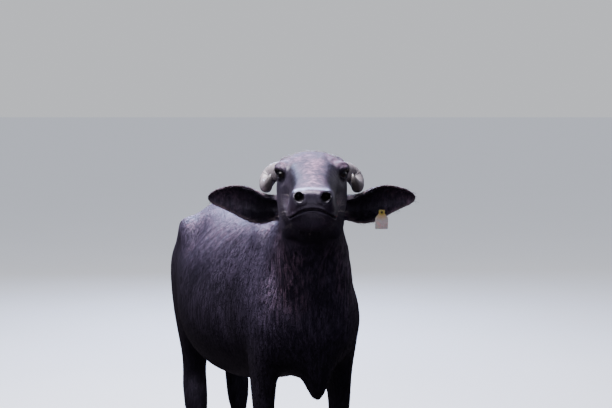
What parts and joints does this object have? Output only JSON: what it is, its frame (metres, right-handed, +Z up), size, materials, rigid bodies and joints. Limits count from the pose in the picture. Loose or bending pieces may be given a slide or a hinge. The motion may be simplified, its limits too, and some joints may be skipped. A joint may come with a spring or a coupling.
{
  "type": "water buffalo",
  "caption": "Life-size standing water buffalo cow with a raised, turned head, curled horns, cupped ears, an ear tag and split hooves.",
  "frame": {"origin": "on the floor, under the middle of the whole animal's bounding box", "axes": "+Z up, -Y the way the body faces, +X the animal's left"},
  "size_m": [0.6772, 2.1278, 1.5461],
  "materials": {
    "hide": "satin",
    "face_hide": "satin",
    "horn": "satin",
    "hoof": "satin",
    "eye": "gloss",
    "tail_hair": "matte",
    "tag": "satin"
  },
  "bodies": {
    "root": {"ear_left": "hide", "ear_right": "hide", "ear_tag": "tag", "ear_tag_button": "tag", "eye_left": "eye", "eye_right": "eye", "head": "face_hide", "horn_left": "horn", "horn_right": "horn", "left_fore_dewclaw_inner": "hoof", "left_fore_dewclaw_outer": "hoof", "left_fore_hoof_inner": "hoof", "left_fore_hoof_outer": "hoof", "left_foreleg_lower": "hide", "left_foreleg_upper": "hide", "left_hind_dewclaw_inner": "hoof", "left_hind_dewclaw_outer": "hoof", "left_hind_hoof_inner": "hoof", "left_hind_hoof_outer": "hoof", "left_hindleg_lower": "hide", "left_hindleg_upper": "hide", "neck": "hide", "right_fore_dewclaw_inner": "hoof", "right_fore_dewclaw_outer": "hoof", "right_fore_hoof_inner": "hoof", "right_fore_hoof_outer": "hoof", "right_foreleg_lower": "hide", "right_foreleg_upper": "hide", "right_hind_dewclaw_inner": "hoof", "right_hind_dewclaw_outer": "hoof", "right_hind_hoof_inner": "hoof", "right_hind_hoof_outer": "hoof", "right_hindleg_lower": "hide", "right_hindleg_upper": "hide", "tail": "hide", "tail_switch": "tail_hair", "torso": "hide"}
  },
  "joints": []
}
